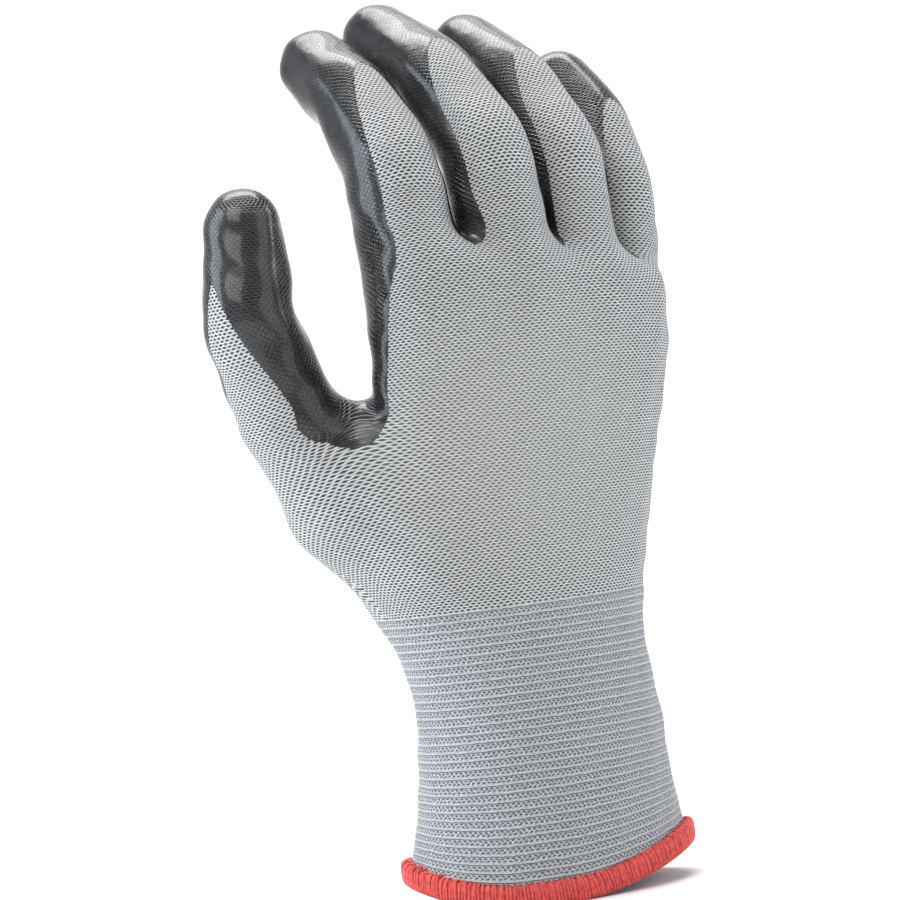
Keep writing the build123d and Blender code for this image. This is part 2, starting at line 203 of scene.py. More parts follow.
class Stall:
    """Centre line and thickness of one finger or thumb stall."""

    def __init__(self, points, axis, radii, reach):
        self.points = [np.array(p, float) for p in points]
        self.bones = [unit(b - a) for a, b in zip(self.points, self.points[1:])]
        self.lengths = [np.linalg.norm(b - a) for a, b in zip(self.points, self.points[1:])]
        self.stops = np.concatenate([[0], np.cumsum(self.lengths)])
        self.axis, self.radii, self.reach = axis, np.array(radii, float), reach

    def centre(self, s):
        """Points and directions on the centre line, rounded at its bends."""
        s = np.asarray(s, float)
        place = self.points[0] + self.bones[0] * s[:, None]
        heading = np.repeat(self.bones[0][None], len(s), 0)
        for k in range(1, len(self.bones)):
            past = s > self.stops[k]
            place[past] = self.points[k] + self.bones[k] * (s[past] - self.stops[k])[:, None]
            heading[past] = self.bones[k]
        for k in range(1, len(self.bones)):
            t = (s - self.stops[k] + self.reach) / (2 * self.reach)
            near = (t > 0) & (t < 1)
            t = t[near][:, None]
            low = self.points[k] - self.bones[k - 1] * self.reach
            high = self.points[k] + self.bones[k] * self.reach
            place[near] = (1 - t) ** 2 * low + 2 * t * (1 - t) * self.points[k] + t * t * high
            heading[near] = unit((1 - t) * self.bones[k - 1] + t * self.bones[k])
        return place, heading

    def from_root(self, p):
        """How far places lie along, padwards and sideways from the root of the first length."""
        rel = p - self.points[0]
        return rel @ self.bones[0], rel @ np.cross(self.axis, self.bones[0]), rel @ self.axis

    def radius(self, s, back):
        """Thickness at s, where back is 1 on the back of the stall and -1 on its pad."""
        plain = np.interp(s, self.stops, self.radii)
        pad = np.clip(-back, 0, 1) ** 1.5
        top = np.clip(back, 0, 1) ** 2
        shape = np.zeros_like(plain)
        for k in range(1, len(self.stops) - 1):
            off = (s - self.stops[k]) / 5.0
            shape += -0.8 * pad * np.exp(-off ** 2) + 0.5 * top * np.exp(-(off / 1.3) ** 2)
        for low, high in zip(self.stops[1:-1], self.stops[2:]):
            off = (s - low - 0.52 * (high - low)) / (0.30 * (high - low))
            shape += 0.55 * pad * np.exp(-off ** 2)
        return plain + shape


def finger_stall(start, fan, turn, bends, lengths, radii):
    fan, turn = math.radians(fan), math.radians(turn)
    heading = Vector((math.sin(fan), 0, math.cos(fan)))
    pad = Vector((-math.sin(turn), math.cos(turn), 0))
    axis = heading.cross((pad - heading * heading.dot(pad)).normalized())
    points = [Vector(start)]
    for bend, length in zip(bends, lengths):
        heading = Matrix.Rotation(math.radians(bend), 3, axis) @ heading
        points.append(points[-1] + heading * length)
    return Stall(points, np.array(axis), radii, 9.0)


stalls = {name: finger_stall(*sizes) for name, sizes in FINGERS.items()}
thumb_points = [np.array(p) for p, r in THUMB]
thumb_axis = unit(np.cross(unit(thumb_points[3] - thumb_points[2]), -THUMB_BACK))
stalls["thumb"] = Stall(thumb_points[2:], thumb_axis, [r for p, r in THUMB[2:]], 8.0)


def cone_field(p, start, end, low, high):
    start, end = np.array(start), np.array(end)
    length = np.linalg.norm(end - start)
    along = (end - start) / length
    t = np.clip((p - start) @ along, 0, length)
    away = p - start - t[:, None] * along
    return np.sqrt((away ** 2).sum(1)) - low - (high - low) * t / length


def stall_field(stall, p):
    """Distance from the straight first length of a stall."""
    s, pad, side = stall.from_root(p)
    side = side / STALL_SQUASH
    rho = np.sqrt(pad ** 2 + side ** 2)
    thick = stall.radius(np.maximum(s, 0), -pad / np.maximum(rho, 1e-6))
    return np.sqrt(rho ** 2 + np.minimum(s, 0) ** 2) - thick


def soft_unevenness(p):
    """Slack that leaves knitted fabric slightly uneven."""
    x, y, z = p.T
    return (0.16 * np.sin(0.21 * x + 0.33 * z + 1.0) * np.sin(0.27 * y - 0.12 * z)
            + 0.12 * np.sin(0.45 * x - 0.23 * z + 0.4 * y)
            + 0.09 * np.sin(0.62 * z + 0.31 * x - 0.5 * y + 2.0))


def hand_parts(p):
    """Fields of the palm, the thumb and each finger."""
    x, y, width, depth = section(p[:, 2])
    dx, dy = p[:, 0] - x, p[:, 1] - y
    q = np.sqrt((dx / width) ** 2 + (dy / depth) ** 2)
    palm = (q - 1) * q / np.maximum(np.hypot(dx / width ** 2, dy / depth ** 2), 1e-4)
    palm = melt(palm, cone_field(p, *OUTER_PAD), 7.0)
    palm = -melt(-palm, -((p - WEB_POINT) @ WEB_UP), 9.0)
    (p0, r0), (p1, r1), (p2, r2) = THUMB[:3]
    thumb = melt(cone_field(p, p0, p1, r0, r1), cone_field(p, p1, p2, r1, r2), 6.0)
    thumb = melt(thumb, stall_field(stalls["thumb"], p), 2.0)
    (w0, s0), (w1, s1) = THUMB_WEB
    web = cone_field(p, w0, w1, s0, s1)
    fingers = np.stack([stall_field(stalls[name], p) for name in FINGERS])
    return palm, thumb, web, fingers


def hand_field(p, slack=1.0):
    """Distance from the surface of the hand, below zero inside."""
    palm, thumb, web, fingers = hand_parts(p)
    body = melt(melt(palm, web, 7.0), thumb, 8.5)
    return np.min(melt(body[None], fingers, 6.0), 0) + slack * soft_unevenness(p)


def hand_slope(p, step=0.15, slack=1.0):
    """Outward direction at points of the hand's surface."""
    slope = np.empty_like(p)
    for k in range(3):
        shift = np.zeros(3)
        shift[k] = step
        slope[:, k] = hand_field(p + shift, slack) - hand_field(p - shift, slack)
    return slope / (2 * step)


def onto_hand(p, rounds=3):
    for _ in range(rounds):
        slope = hand_slope(p)
        p = p - slope * (hand_field(p) / np.maximum((slope ** 2).sum(1), 0.1))[:, None]
    return p


# ---- Knit mesh ----
# Every knitted part is a closed skin: the outside, the inside one wall deeper, and its rims.
# A table row holds place, outward direction, stitch place and distance past the coating's edge.
PLACE, OUT, STITCH, DIP = slice(0, 3), slice(3, 6), slice(6, 8), 8
KNIT_WALL = 1.0


def trim(rows, tris, level):
    """The part of a triangle mesh where level is above zero, cut cleanly along its edge."""
    level = np.where(np.abs(level) < 0.06, 0.0, level)
    sign = np.sign(level).astype(int)[tris]
    below, above = (sign < 0).sum(1), (sign > 0).sum(1)
    whole = tris[(below == 0) & (above > 0)]
    made, cuts = [], {}

    def cut(i, j):
        """Index of the new row on the edge from kept i to dropped j."""
        if level[i] == 0:
            return i
        key = (i, j)
        if key not in cuts:
            cuts[key] = len(rows) + len(cuts)
        return cuts[key]

    for tri, signs in zip(tris[(below == 1) & (above > 0)], sign[(below == 1) & (above > 0)]):
        n, p, q = np.roll(tri, -int(np.argmin(signs)))
        x, y = cut(q, n), cut(p, n)
        if x != q:
            made.append((p, q, x))
        if y != p:
            made.append((p, x, y))
    for tri, signs in zip(tris[(below == 2) & (above > 0)], sign[(below == 2) & (above > 0)]):
        p, a, b = np.roll(tri, -int(np.argmax(signs)))
        made.append((p, cut(p, a), cut(p, b)))
    if cuts:
        i, j = np.array(list(cuts)).T
        t = (level[i] / (level[i] - level[j]))[:, None]
        rows = np.vstack([rows, rows[i] * (1 - t) + rows[j] * t])
    tris = np.vstack([whole, np.array(made, int).reshape(-1, 3)])
    used, tris = np.unique(tris, return_inverse=True)
    rows = rows[used]
    rows[:, OUT] = unit(rows[:, OUT])
    return rows, tris.reshape(-1, 3)


def grid_tris(rings, around, closed=True):
    """Triangles of a grid of rings, faces outwards when rings rise and turn left."""
    i, j = np.meshgrid(np.arange(rings - 1), np.arange(around if closed else around - 1), indexing="ij")
    a, b = i * around + j, i * around + (j + 1) % around
    c, d = b + around, a + around
    return np.vstack([np.stack([a, b, c], -1).reshape(-1, 3), np.stack([a, c, d], -1).reshape(-1, 3)])


def shell_mesh(name, rows, tris, wall, material):
    """A closed skin of the given wall as an object, with its stitch map and dip distance."""
    count = len(rows)
    inner = rows[:, PLACE] - rows[:, OUT] * np.reshape(wall, (-1, 1))
    places = np.vstack([rows[:, PLACE], inner]) / 1000
    edges = np.vstack([tris[:, [0, 1]], tris[:, [1, 2]], tris[:, [2, 0]]])
    key, back = edges[:, 0] * count + edges[:, 1], edges[:, 1] * count + edges[:, 0]
    rim = edges[~np.isin(key, back)]
    i, j = rim.T
    faces = np.vstack([tris, tris[:, ::-1] + count, np.stack([j, i, i + count], 1),
                       np.stack([j, i + count, j + count], 1)])
    mesh = bpy.data.meshes.new(name)
    mesh.vertices.add(len(places))
    mesh.vertices.foreach_set("co", places.ravel())
    mesh.loops.add(faces.size)
    mesh.loops.foreach_set("vertex_index", faces.ravel().astype(np.int32))
    mesh.polygons.add(len(faces))
    mesh.polygons.foreach_set("loop_start", np.arange(0, faces.size, 3, dtype=np.int32))
    mesh.update(calc_edges=True)
    mesh.shade_smooth()
    stitches = np.vstack([rows[:, STITCH], rows[:, STITCH]])[faces.ravel()]
    layer = mesh.uv_layers.new(name="stitches")
    layer.data.foreach_set("uv", stitches.ravel().astype(np.float32))
    dip = mesh.attributes.new("dip", "FLOAT", "POINT")
    dip.data.foreach_set("value", np.tile(rows[:, DIP], 2).astype(np.float32))
    mesh.normals_split_custom_set_from_vertices(np.vstack([rows[:, OUT], -rows[:, OUT]]))
    mesh.materials.append(material)
    piece = bpy.data.objects.new(name, mesh)
    bpy.context.scene.collection.objects.link(piece)
    return piece


# Stall sizes along the centre line: where each leaves the hand, and its two cuts between bends.
STALL_START = {"index": 18.5, "middle": 18.5, "ring": 18.7, "little": 22.0, "thumb": -3.0}
THUMB_CUT, FINGER_CUT = 14.5, 29.5      # first cut of the stall between its bends
WRIST_TOP = 72.0
HAND_STEP = 1.15
KNIT_ANGLE = 69.0         # how far round from the back the bare knit reaches, degrees
THUMB_ANGLE = 60.0
WEB_ANGLE = 11.0          # less between the fingers
CROTCH, CROTCH_RADIUS = (-42.5, 0.0, 123.0), 12.0    # the coating dips under the thumb's crotch
HEEL_EDGE = 87.0          # lower edge of the coating across the heel of the palm


def hand_net(low, high, step):
    """Triangles over the zero of the hand field on a regular grid."""
    axes = [np.arange(a, b, step) for a, b in zip(low, high)]
    shape = tuple(len(a) for a in axes)
    grid = np.stack(np.meshgrid(*axes, indexing="ij"), -1).reshape(-1, 3)
    field = np.concatenate([hand_field(part) for part in np.array_split(grid, 12)]).reshape(shape)
    cells = tuple(n - 1 for n in shape)
    total, hits = np.zeros(cells + (3,)), np.zeros(cells)
    for axis in range(3):
        others = [k for k in range(3) if k != axis]
        for u in (0, 1):
            for v in (0, 1):
                near = [slice(0, n) for n in cells]
                near[others[0]] = slice(u, u + cells[others[0]])
                near[others[1]] = slice(v, v + cells[others[1]])
                far = list(near)
                far[axis] = slice(1, cells[axis] + 1)
                f0, f1 = field[tuple(near)], field[tuple(far)]
                cross = (f0 < 0) != (f1 < 0)
                t = np.where(cross, f0 / np.where(f0 == f1, 1, f0 - f1), 0)
                total[..., axis] += np.where(cross, t, 0)
                total[..., others[0]] += cross * u
                total[..., others[1]] += cross * v
                hits += cross
    live = hits > 0
    index = np.full(cells, -1)
    index[live] = np.arange(live.sum())
    corner = np.stack(np.nonzero(live), 1)
    places = (corner + total[live] / hits[live][:, None]) * step + np.array([a[0] for a in axes])
    quads = []
    for axis in range(3):
        p, q = (axis + 1) % 3, (axis + 2) % 3
        inside = [slice(1, n - 1) for n in shape]
        inside[axis] = slice(0, shape[axis] - 1)
        ahead = list(inside)
        ahead[axis] = slice(1, shape[axis])
        a, b = field[tuple(inside)] < 0, field[tuple(ahead)] < 0
        spot = np.stack(np.nonzero(a != b), 1)
        spot[:, p] += 1
        spot[:, q] += 1
        back_p, back_q = np.eye(3, dtype=int)[p], np.eye(3, dtype=int)[q]
        ring = [index[tuple((spot - back_p - back_q).T)], index[tuple((spot - back_q).T)],
                index[tuple(spot.T)], index[tuple((spot - back_p).T)]]
        quad = np.stack(ring, 1)
        rising = a[a != b]
        quad[~rising] = quad[~rising][:, ::-1]
        quads.append(quad)
    quads = np.vstack(quads)
    tris = np.vstack([quads[:, [0, 1, 2]], quads[:, [0, 2, 3]]])
    return places, tris


def relax(places, tris, rounds):
    """Evens out the triangles while they stay on the hand."""
    i, j = np.vstack([tris[:, [0, 1]], tris[:, [1, 2]], tris[:, [2, 0]]]).T
    count = np.bincount(i, minlength=len(places))[:, None]
    for _ in range(rounds):
        total = np.stack([np.bincount(i, places[j, k], len(places)) for k in range(3)], 1)
        places = onto_hand(places + 0.6 * (total / np.maximum(count, 1) - places), 1)
    return onto_hand(places, 3)


def fold_at_sides(turn):
    """Angle from the middle of the back, counted back again past each side."""
    return np.where(np.abs(turn) > math.pi / 2, np.sign(turn) * math.pi - turn, turn)


def stall_row(name, back_angle, s):
    """Stitch place on a stall: wales count round from its back, courses along it."""
    stall = stalls[name]
    folded = fold_at_sides(back_angle)
    return np.stack([stall.points[0][0] - stall.radii[1] * folded, stall.points[0][2] + s], -1)


SPREAD_ROUNDS = 260


def lay_stitches(rows, tris, courses, sides, fixed, aims):
    """Spreads wales and courses evenly over a skin, from the directions they should take."""
    places = rows[:, PLACE]
    edge = [(tris[:, k], tris[:, (k + 1) % 3], tris[:, (k + 2) % 3]) for k in range(3)]
    i = np.concatenate([e[0] for e in edge])
    j = np.concatenate([e[1] for e in edge])
    k = np.concatenate([e[2] for e in edge])
    a, b = places[i] - places[k], places[j] - places[k]
    weight = 0.5 * (a * b).sum(1) / np.maximum(np.linalg.norm(np.cross(a, b), axis=1), 1e-6)
    weight = np.clip(weight, 0.03, 3)
    face = np.tile(np.arange(len(tris)), 3)
    normal = unit(rows[tris, OUT].mean(1))
    up = courses[tris].mean(1)
    up = unit(up - normal * (up * normal).sum(1, keepdims=True))
    side = np.cross(up, normal) * np.sign(sides[tris].mean(1))[:, None]
    found = []
    for column, wanted in enumerate((side, up)):
        hold = np.where(fixed[:, column], 5.0, 1e-5)
        diagonal = np.bincount(i, weight, len(places)) + np.bincount(j, weight, len(places)) + hold
        target = weight * ((places[j] - places[i]) * wanted[face]).sum(1)
        right_hand = np.bincount(j, target, len(places)) - np.bincount(i, target, len(places))
        right_hand = right_hand + hold * aims[:, column]
        x = aims[:, column].copy()

        def spread(v):
            flow = weight * (v[i] - v[j])
            return np.bincount(i, flow, len(v)) - np.bincount(j, flow, len(v)) + hold * v

        r = right_hand - spread(x)
        z = r / diagonal
        d, rz = z.copy(), r @ z
        for _ in range(SPREAD_ROUNDS):
            q = spread(d)
            step = rz / (d @ q)
            x += step * d
            r -= step * q
            z = r / diagonal
            rz, old = r @ z, rz
            d = z + rz / old * d
        found.append(x)
    return np.stack(found, 1)


def hand_back(p, low=84, high=112):
    """Direction of the back of the glove at each place: the hand's, turning to the thumb's."""
    palm, thumb, web = hand_parts(p)[:3]
    share = eased(melt(palm, web, 8.0) - thumb, -2.0, 9.0) * eased(p[:, 2], low, high)
    return unit(np.array((0.0, -1.0, 0.0)) * (1 - share)[:, None] + THUMB_BACK * share[:, None]), share


def hand_dip(p):
    """Distance past the edge of the coating on the hand, from the direction the surface faces."""
    back, share = hand_back(p)
    out = unit(hand_slope(p, 0.6, 0.0))
    angle = np.arccos(np.clip((out * back).sum(1), -1, 1))
    limit = np.radians(KNIT_ANGLE + (THUMB_ANGLE - KNIT_ANGLE) * share - WEB_ANGLE * eased(p[:, 2], 147, 158))
    heel = p[:, 2] - HEEL_EDGE - 0.75 * np.clip(-p[:, 0] - 18, 0, 22) - 0.003 * (p[:, 0] - 8) ** 2
    crotch = CROTCH_RADIUS - np.sqrt(((p - CROTCH) ** 2).sum(1))
    side = -melt(-(angle - limit) * 12.0, -crotch, 3.0)
    return melt(side, heel, 5.0)


# Length round half the wrist, from its middle, for the wales of the cuff.
WRIST_WIDTH, WRIST_DEPTH = 35.5, 24.0
ARC_ANGLES = np.linspace(-math.pi / 2, math.pi / 2, 181)
ARC_STEPS = np.hypot(np.diff(WRIST_WIDTH * np.sin(ARC_ANGLES)), np.diff(WRIST_DEPTH * np.cos(ARC_ANGLES)))
ARC = np.concatenate([[0], np.cumsum(ARC_STEPS)])
ARC -= ARC[90]


def cuff_stitches(p):
    """Stitch places on the cuff and wrist: wales count from the middle of the back."""
    x, y, width, depth = section(p[:, 2])
    turn = np.arctan2((p[:, 0] - x) / width, -(p[:, 1] - y) / depth)
    return np.stack([np.interp(fold_at_sides(turn), ARC_ANGLES, ARC), p[:, 2]], -1)


def hand_rows():
    """The hand from the ribs to its stalls, as rows and triangles."""
    places, tris = hand_net((-76, -34, 69.8), (56, 32, 168), HAND_STEP)
    places = relax(places, tris, 4)
    out = unit(hand_slope(places))
    palm, thumb, web, fingers = hand_parts(places)
    names = list(FINGERS)
    nearest = fingers.argmin(0)
    past = np.full(len(places), -50.0)
    for k, name in enumerate(names):
        s = (places - stalls[name].points[0]) @ stalls[name].bones[0]
        past = np.where(nearest == k, s - STALL_START[name], past)
    s = (places - stalls["thumb"].points[0]) @ stalls["thumb"].bones[0]
    past_thumb = np.where(thumb < palm, s - STALL_START["thumb"], -50.0)
    rows = np.zeros((len(places), 9))
    rows[:, PLACE], rows[:, OUT] = places, out

    weights = [np.exp(-np.maximum(melt(palm, web, 8.0), -3) / 3.0)]
    headings = [np.repeat([[0.0, 0.0, 1.0]], len(places), 0)]
    for k, name in enumerate(names):
        weights.append(np.exp(-np.maximum(fingers[k], -3) / 3.0) * eased(places[:, 2], 138, 158))
        headings.append(np.repeat(stalls[name].bones[0][None], len(places), 0))
    weights.append(np.exp(-np.maximum(thumb, -3) / 3.0) * eased(places[:, 2], 80, 112))
    headings.append(np.repeat(stalls["thumb"].bones[0][None], len(places), 0))
    courses = unit(sum(w[:, None] * h for w, h in zip(weights, headings)))
    back = hand_back(places, 75, 120)[0]
    sides = (unit(hand_slope(places, 0.6, 0.0)) * back).sum(1)

    aims = np.stack([places[:, 0], places[:, 2]], 1)
    fixed = np.zeros(len(places), bool)
    for k, name in enumerate(names + ["thumb"]):
        along, pad, side = stalls[name].from_root(places)
        turn = np.arctan2(side, -pad)
        near = (nearest == k) & (places[:, 2] > 140) if k < 4 else thumb < palm
        near &= along > STALL_START[name] - 2.0
        aims[near] = stall_row(name, turn, along)[near]
        fixed = fixed | near
    low_ring = places[:, 2] < WRIST_TOP + 1.5
    fixed = np.stack([fixed, fixed | low_ring], 1)
    rows[:, STITCH] = lay_stitches(rows, tris, courses, sides, fixed, aims)
    rows[:, DIP] = hand_dip(places)
    rows = np.hstack([rows, past[:, None], past_thumb[:, None]])
    for level in (lambda r: r[:, 2] - WRIST_TOP, lambda r: -r[:, 9], lambda r: -r[:, 10]):
        rows, tris = trim(rows, tris, level(rows))
    return rows[:, :9], tris


# Tongue of bare knit on the back of each stall: where it ends along the stall, the length of its
# rounded end, and how far round it reaches towards the thumb side and away from it, degrees.
TONGUES = {
    "index": (66.0, 26.0, 52.0, 50.0), "middle": (73.0, 26.0, 68.0, 51.0), "ring": (70.0, 24.0, 60.0, 52.0),
    "little": (58.0, 22.0, 48.0, 60.0), "thumb": (35.0, 34.0, 40.0, 64.0),
}
AROUND = 72
RING_STEP = 0.9


def stall_grid(name):
    """Rings of rows from the hand to the end of a stall, and where each lies along it."""
    stall = stalls[name]
    start, total = STALL_START[name], stall.stops[-1]
    along = np.arange(start - 2 * RING_STEP, total - 0.3, RING_STEP)
    domes = np.linspace(0, math.pi / 2, 13)[:-1]
    along = np.concatenate([along, np.full(len(domes), total)])
    lean = np.concatenate([np.zeros(len(along) - len(domes)), domes])
    angles = -2 * math.pi * np.arange(AROUND) / AROUND
    angles = (angles + math.pi) % (2 * math.pi) - math.pi
    centre, heading = stall.centre(along)
    pad = unit(np.cross(stall.axis, heading))
    ray = (-np.cos(angles)[None, :, None] * pad[:, None]
           + STALL_SQUASH * np.sin(angles)[None, :, None] * stall.axis)
    ray = ray * np.cos(lean)[:, None, None] + (heading * np.sin(lean)[:, None])[:, None]
    s = np.repeat(along[:, None], AROUND, 1)
    reach = stall.radius(s, np.cos(angles)[None] * np.cos(lean)[:, None])
    place = centre[:, None] + ray * reach[..., None]
    uneven = soft_unevenness(place.reshape(-1, 3)).reshape(s.shape)
    plain = reach - uneven
    low = along < start + 18
    for _ in range(10):
        near = place[low].reshape(-1, 3)
        reach[low] -= 0.9 * hand_field(near).reshape(-1, AROUND)
        place[low] = (centre[:, None] + ray * reach[..., None])[low]
    share = eased(s, start + 9, start + 17)
    reach = reach * (1 - share) + plain * share
    place = centre[:, None] + ray * reach[..., None]
    tip = centre[-1] + heading[-1] * (stall.radii[-1] - 0.1)
    full = np.concatenate([place, np.broadcast_to(tip, (1, AROUND, 3))])
    around = np.roll(full, -1, 1) - np.roll(full, 1, 1)
    out = unit(np.cross(around, np.gradient(full, axis=0)))
    out[-1] = heading[-1]
    length = s + lean[:, None] * stall.radii[-1]
    length = np.concatenate([length, np.full((1, AROUND), total + math.pi / 2 * stall.radii[-1])])
    turn = np.repeat(angles[None], len(full), 0)
    rows = np.zeros(full.shape[:2] + (9,))
    rows[..., PLACE], rows[..., OUT] = full, out
    rows[..., STITCH] = stall_row(name, turn, length)
    end, tongue, towards, beyond = TONGUES[name]
    limit = np.radians(np.where(turn > 0, towards, beyond))
    across = np.abs(turn) / limit
    past = np.clip((length - end + tongue) / tongue, 0, None)
    power = 1.3 if name == "thumb" else 1.7
    own = ((across ** power + past ** power) ** (1 / power) - 1) * limit * 11
    flat = rows.reshape(-1, 9)
    from_hand = hand_dip(flat[:, PLACE]).reshape(length.shape)
    share = eased(length, start + 1, start + 13)
    rows[..., DIP] = from_hand * (1 - share) + own * share
    return rows[2:], along[2:]


def stall_parts(name):
    """The stall cut between its bends into parts, each as rows and triangles."""
    rows, along = stall_grid(name)
    stall = stalls[name]
    if name == "thumb":
        cuts = [THUMB_CUT]
    else:
        middle = (stall.stops[1] + 9.7 + stall.stops[2] - 7.2) / 2
        cuts = [FINGER_CUT, middle]
    marks = [0] + [int(np.argmin(np.abs(along - c))) for c in cuts] + [len(rows) - 1]
    parts = []
    for low, high in zip(marks, marks[1:]):
        ring = rows[low:high + 1]
        if high == len(rows) - 1:
            ring = ring[:-1]
            flat = np.vstack([ring.reshape(-1, 9), rows[-1, :1]])
            last = (len(ring) - 1) * AROUND + np.arange(AROUND)
            fan = np.stack([last, np.roll(last, -1), np.full(AROUND, len(flat) - 1)], 1)
            parts.append((flat, np.vstack([grid_tris(len(ring), AROUND), fan])))
        else:
            parts.append((ring.reshape(-1, 9), grid_tris(len(ring), AROUND)))
    return parts


# ---- Knit finish ----
# Light grey nylon, knitted in one gauge: wavy courses of yarn that part and meet in turn, with a
# small dark opening where they part. Light and shade are painted into its colour: a painted highlight
# on the crests, painted shade in the valleys between courses and in the openings, painted glints on
# the fibres and a painted darker tint over the middle of the back. The dip soaks a little way past
# its edge into the openings.
class Wiring:
    """Short hand for adding and joining nodes in one tree."""

    def __init__(self, tree):
        self.tree = tree

    def node(self, kind, settings=None, **inputs):
        node = self.tree.nodes.new(kind)
        for key, value in (settings or {}).items():
            setattr(node, key, value)
        for key, value in inputs.items():
            key = int(key[1:]) if key[0] == "_" and key[1:].isdigit() else key.replace("_", " ")
            self.feed(node.inputs[key], value)
        return node

    def feed(self, socket, value):
        if isinstance(value, bpy.types.NodeSocket):
            self.tree.links.new(value, socket)
        else:
            socket.default_value = value

    def math(self, operation, *values):
        node = self.node("ShaderNodeMath", {"operation": operation})
        for socket, value in zip(node.inputs, values):
            self.feed(socket, value)
        return node.outputs[0]

    def ramp(self, value, low, high, out_low=0.0, out_high=1.0):
        node = self.node("ShaderNodeMapRange", {"interpolation_type": "SMOOTHSTEP"}, Value=value)
        for key, number in (("From Min", low), ("From Max", high), ("To Min", out_low), ("To Max", out_high)):
            self.feed(node.inputs[key], number)
        return node.outputs[0]

    def mix(self, share, a, b):
        node = self.node("ShaderNodeMix", {"data_type": "RGBA"})
        for socket, value in zip([node.inputs[0], node.inputs[6], node.inputs[7]], (share, a, b)):
            self.feed(socket, value)
        return node.outputs[2]

    def noise(self, place, scale, detail=2.0):
        return self.node("ShaderNodeTexNoise", Vector=place, Scale=scale, Detail=detail).outputs["Fac"]

    def bump(self, normal, strength, distance, height):
        node = self.node("ShaderNodeBump", Strength=strength, Distance=distance, Height=height)
        self.feed(normal, node.outputs[0])


def new_group(name, inputs, outputs):
    """A shader node group with named sockets, and its input and output nodes."""
    group = bpy.data.node_groups.new(name, "ShaderNodeTree")
    for key, kind, value in inputs:
        socket = group.interface.new_socket(key, in_out="INPUT", socket_type="NodeSocket" + kind)
        if value is not None:
            socket.default_value = value
    for key, kind in outputs:
        group.interface.new_socket(key, in_out="OUTPUT", socket_type="NodeSocket" + kind)
    wiring = Wiring(group)
    return wiring, group.nodes.new("NodeGroupInput").outputs, group.nodes.new("NodeGroupOutput").inputs


def wavy_courses():
    """Courses of plain knit from a stitch place in millimetres: yarn height and dark openings."""
    w, given, out = new_group("wavy_courses", [("Stitch", "Vector", None), ("Wale", "Float", 1.55),
                                               ("Course", "Float", 0.66), ("Wave", "Float", 0.2)],
                              [("Yarn", "Float"), ("Opening", "Float")])
    parts = w.node("ShaderNodeSeparateXYZ", Vector=given["Stitch"]).outputs
    wander = w.math("MULTIPLY", w.math("SUBTRACT", w.noise(given["Stitch"], 0.35), 0.5), 0.7)
    u = w.math("DIVIDE", w.math("ADD", parts[0], wander), given["Wale"])
    v = w.math("DIVIDE", w.math("ADD", parts[1], w.math("MULTIPLY", wander, 0.5)), given["Course"])
    turn = w.math("ADD", w.math("MULTIPLY", u, 2 * math.pi), w.math("MULTIPLY", w.math("FLOOR", v), math.pi))
    turn = w.math("ADD", turn, w.math("MULTIPLY", v, 0.12))
    part = w.math("FRACT", v)
    wave = w.math("MULTIPLY", w.math("SINE", turn), given["Wave"])
    below = w.math("ABSOLUTE", w.math("SUBTRACT", part, wave))
    above = w.math("ABSOLUTE", w.math("SUBTRACT", w.math("SUBTRACT", 1.0, part), wave))
    off = w.math("MINIMUM", below, above)
    w.feed(out["Yarn"], w.ramp(off, 0.06, 0.42, 1.0, 0.0))
    w.feed(out["Opening"], w.ramp(off, 0.35, 0.57))
    return w.tree


courses_group = wavy_courses()
# Colours of the knit. The crest colour is the yarn's own light grey with a painted highlight on top,
# YARN_SHADE is painted shade in the valleys between courses, and the opening colours are painted shade seen
# through the openings, the second one lighter where the knit is closed up. The soaked colour is the dip's
# real stain.
YARN_CREST_HIGHLIGHT = (0.85, 0.858, 0.862, 1)
YARN_SHADE = (0.115, 0.118, 0.124, 1)
OPENING_SHADE = (0.018, 0.019, 0.022, 1)
CLOSED_OPENING_SHADE = (0.15, 0.155, 0.14, 1)
DIP_SOAKED = (0.012, 0.012, 0.014, 1)


def new_finish(name, **settings):
    """A material with its shader set, the wiring of its nodes, and the inputs of its shader."""
    material = bpy.data.materials.new(name)
    material.use_nodes = True
    shader = material.node_tree.nodes["Principled BSDF"].inputs
    for key, value in settings.items():
        shader[key.replace("_", " ")].default_value = value
    return material, Wiring(material.node_tree), shader


def stitch_inputs(w):
    """Stitch place, place in the glove and distance past the coating's edge."""
    stitch = w.node("ShaderNodeUVMap", {"uv_map": "stitches"}).outputs[0]
    place = w.node("ShaderNodeTexCoord").outputs["Object"]
    dip = w.node("ShaderNodeAttribute", {"attribute_name": "dip"}).outputs["Fac"]
    return stitch, place, dip


